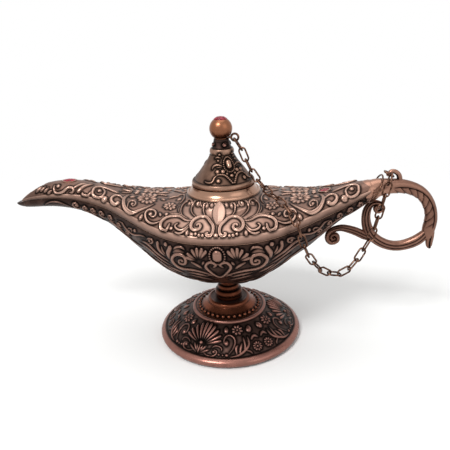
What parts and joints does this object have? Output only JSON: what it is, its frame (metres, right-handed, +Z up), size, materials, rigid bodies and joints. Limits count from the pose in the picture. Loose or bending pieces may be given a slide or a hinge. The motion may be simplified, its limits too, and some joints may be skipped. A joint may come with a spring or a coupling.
{
  "type": "oil lamp",
  "caption": "Copper-coloured genie oil lamp: relief-cast bowl with a long spout on a round foot, lift-off lid with a ball knob, ring handle, and a chain from lid to handle.",
  "frame": {"origin": "centre of the foot's underside, on the plane the lamp stands on", "axes": "+X towards the handle with the spout at -X, +Z up, +Y away from the side the chain hangs on"},
  "size_m": [0.1977, 0.069, 0.1081],
  "materials": {
    "cast_copper": "satin",
    "copper_wire": "satin",
    "red_glass": "gloss",
    "plated_steel": "satin"
  },
  "bodies": {
    "base": {"foot": "cast_copper", "stem": "cast_copper", "lower_shell": "cast_copper", "upper_shell": "cast_copper", "spout_gem": "red_glass", "tail_gem": "red_glass", "handle": "cast_copper", "handle_scroll": "cast_copper", "chain_hook": "cast_copper", "tail_loop": "copper_wire", "hook_ring": "copper_wire", "tie_screw": "plated_steel", "tie_washer": "plated_steel", "tie_nut": "plated_steel"},
    "lid_body": {"lid": "cast_copper", "lid_knob": "cast_copper", "knob_gem": "red_glass", "lid_eyelet": "copper_wire"},
    "chain_run_1": {"chain_link_01": "copper_wire", "chain_link_02": "copper_wire", "chain_link_03": "copper_wire", "chain_link_04": "copper_wire"},
    "chain_run_2": {"chain_link_05": "copper_wire", "chain_link_06": "copper_wire", "chain_link_07": "copper_wire", "chain_link_08": "copper_wire"},
    "chain_run_3": {"chain_link_09": "copper_wire", "chain_link_10": "copper_wire", "chain_link_11": "copper_wire", "chain_link_12": "copper_wire"},
    "chain_run_4": {"chain_link_13": "copper_wire", "chain_link_14": "copper_wire", "chain_link_15": "copper_wire", "chain_link_16": "copper_wire"},
    "chain_run_5": {"chain_link_17": "copper_wire", "chain_link_18": "copper_wire", "chain_link_19": "copper_wire", "chain_link_20": "copper_wire"},
    "chain_run_6": {"chain_link_21": "copper_wire", "chain_link_22": "copper_wire", "chain_link_23": "copper_wire", "chain_link_24": "copper_wire"},
    "chain_run_7": {"chain_link_25": "copper_wire", "chain_link_26": "copper_wire", "chain_link_27": "copper_wire"}
  },
  "joints": [
    {"name": "lid_lift", "type": "slide", "parent": "base", "child": "lid_body", "axis": [0, 0, 1], "range_m": [0, 0.025]},
    {"name": "chain_run_1_swing", "type": "hinge", "parent": "base", "child": "chain_run_1", "pos_m": [0.07412, -0.00218, 0.08085], "axis": [-0.5489, 0.8021, 0.2351], "range_deg": [0, 25.52]},
    {"name": "chain_run_2_swing", "type": "hinge", "parent": "chain_run_1", "child": "chain_run_2", "pos_m": [0.0689, -0.00769, 0.06327], "axis": [0.8544, -0.0359, 0.5183], "range_deg": [0, 35.23]},
    {"name": "chain_run_3_swing", "type": "hinge", "parent": "chain_run_2", "child": "chain_run_3", "pos_m": [0.05994, -0.0128, 0.04505], "axis": [-0.8154, 0.024, -0.5784], "range_deg": [0, 31.52]},
    {"name": "chain_run_4_swing", "type": "hinge", "parent": "chain_run_3", "child": "chain_run_4", "pos_m": [0.04359, -0.02134, 0.04436], "axis": [-0.2683, -0.731, -0.6274], "range_deg": [0, 22.13]},
    {"name": "chain_run_5_swing", "type": "hinge", "parent": "chain_run_4", "child": "chain_run_5", "pos_m": [0.03493, -0.02739, 0.06237], "axis": [0.9952, 0.0441, -0.0873], "range_deg": [0, 30.99]},
    {"name": "chain_run_6_swing", "type": "hinge", "parent": "chain_run_5", "child": "chain_run_6", "pos_m": [0.02512, -0.01673, 0.07511], "axis": [0.7327, -0.3585, -0.5784], "range_deg": [0, 29.84]},
    {"name": "chain_run_7_swing", "type": "hinge", "parent": "chain_run_6", "child": "chain_run_7", "pos_m": [0.01328, -0.00297, 0.08404], "axis": [-0.9125, 0.039, 0.4072], "range_deg": [0, 37.78]}
  ],
  "couplings": [
    {"joint": "chain_run_1_swing", "follows": "lid_lift", "rad_per_m": 17.639},
    {"joint": "chain_run_2_swing", "follows": "lid_lift", "rad_per_m": 24.35},
    {"joint": "chain_run_3_swing", "follows": "lid_lift", "rad_per_m": 21.785},
    {"joint": "chain_run_4_swing", "follows": "lid_lift", "rad_per_m": 15.297},
    {"joint": "chain_run_5_swing", "follows": "lid_lift", "rad_per_m": 21.421},
    {"joint": "chain_run_6_swing", "follows": "lid_lift", "rad_per_m": 20.626},
    {"joint": "chain_run_7_swing", "follows": "lid_lift", "rad_per_m": 26.113}
  ]
}
